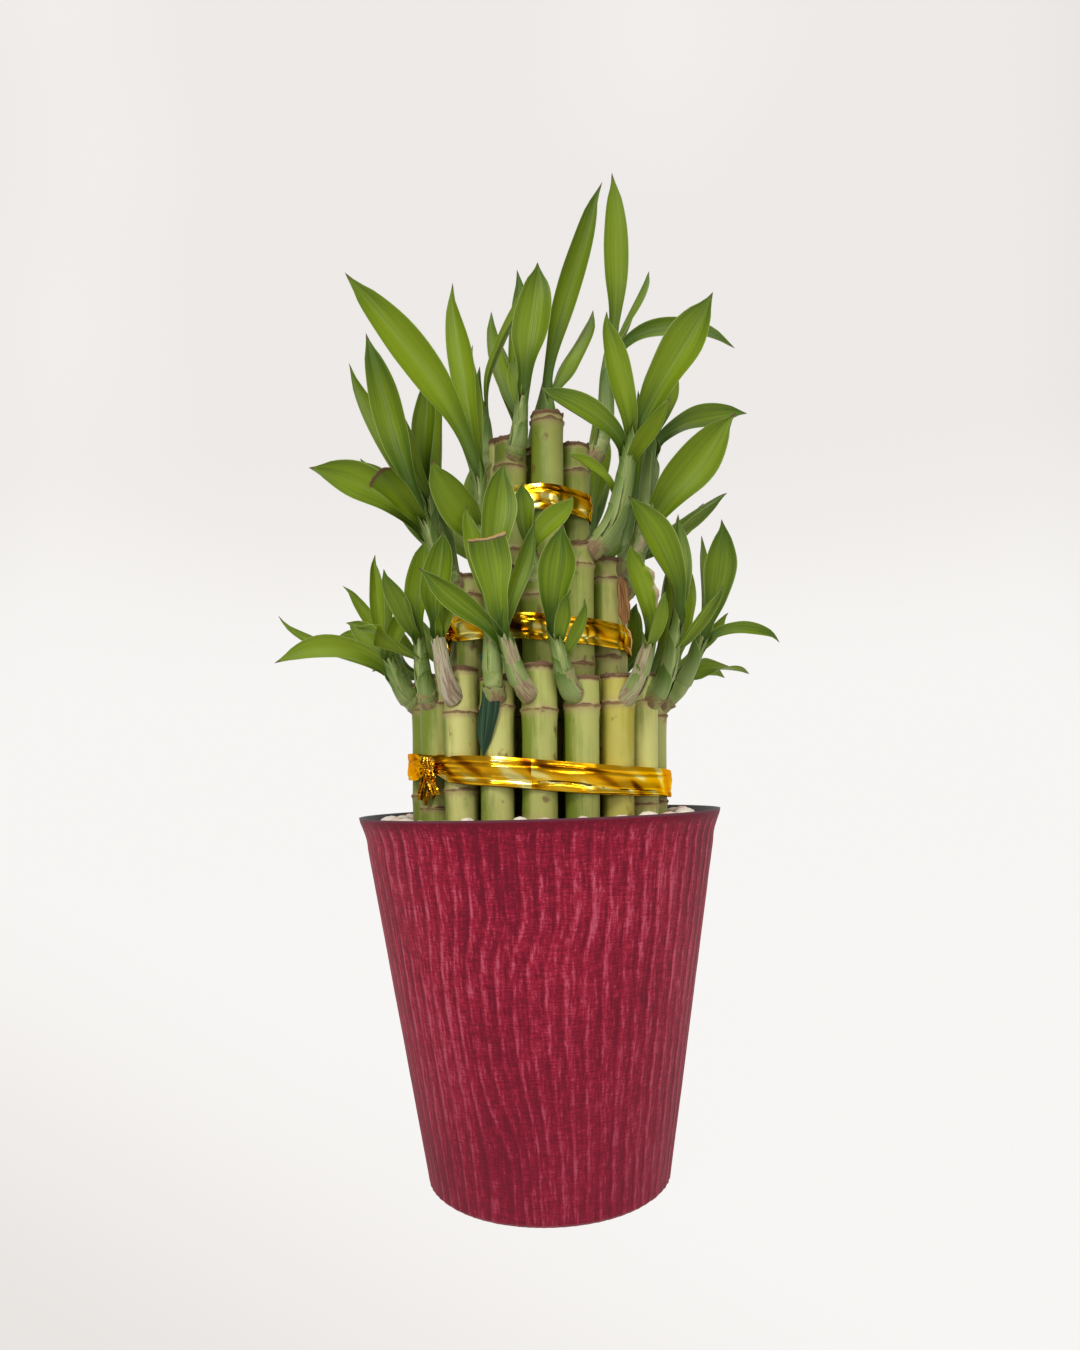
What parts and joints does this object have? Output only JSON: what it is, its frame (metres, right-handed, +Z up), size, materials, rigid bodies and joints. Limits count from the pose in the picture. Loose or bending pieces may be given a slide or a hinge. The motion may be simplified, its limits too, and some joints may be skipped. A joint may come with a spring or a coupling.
{
  "type": "lucky bamboo in a pot",
  "caption": "Tiered lucky bamboo: cut canes with leafy shoots, tied with foil ribbons, standing in white pebbles in a tapering pot with wood-grain relief.",
  "frame": {"origin": "centre of the pot's flat underside", "axes": "+Z up, along the pot's axis; -Y towards the viewer of the picture; +X to that viewer's right"},
  "size_m": [0.1683, 0.1369, 0.3401],
  "materials": {
    "pot": "satin burgundy with paler worn ridges of wood-grain relief",
    "soil": "dark, rough and moist",
    "pebble": "smooth cream to pinkish white",
    "foil": "mirror-bright gold metallised film",
    "plant": "satin green leaves on paler yellow-green canes"
  },
  "bodies": {
    "root": {"pot": "pot", "soil": "soil", "pebbles": "pebble", "ribbon_low": "foil", "ribbon_mid": "foil", "ribbon_tall": "foil", "cane_low_01": "plant", "cane_low_02": "plant", "cane_low_03": "plant", "cane_low_04": "plant", "cane_low_05": "plant", "cane_low_06": "plant", "cane_low_07": "plant", "cane_low_08": "plant", "cane_low_09": "plant", "cane_low_10": "plant", "cane_low_11": "plant", "cane_low_12": "plant", "cane_low_13": "plant", "cane_low_14": "plant", "cane_low_15": "plant", "cane_low_16": "plant", "cane_low_17": "plant", "cane_low_18": "plant", "cane_mid_01": "plant", "cane_mid_02": "plant", "cane_mid_03": "plant", "cane_mid_04": "plant", "cane_mid_05": "plant", "cane_mid_06": "plant", "cane_mid_07": "plant", "cane_mid_08": "plant", "cane_mid_09": "plant", "cane_mid_10": "plant", "cane_mid_11": "plant", "cane_mid_12": "plant", "cane_tall_01": "plant", "cane_tall_02": "plant", "cane_tall_03": "plant", "cane_tall_04": "plant", "cane_tall_05": "plant", "cane_tall_06": "plant", "cane_core_01": "plant"}
  },
  "joints": []
}
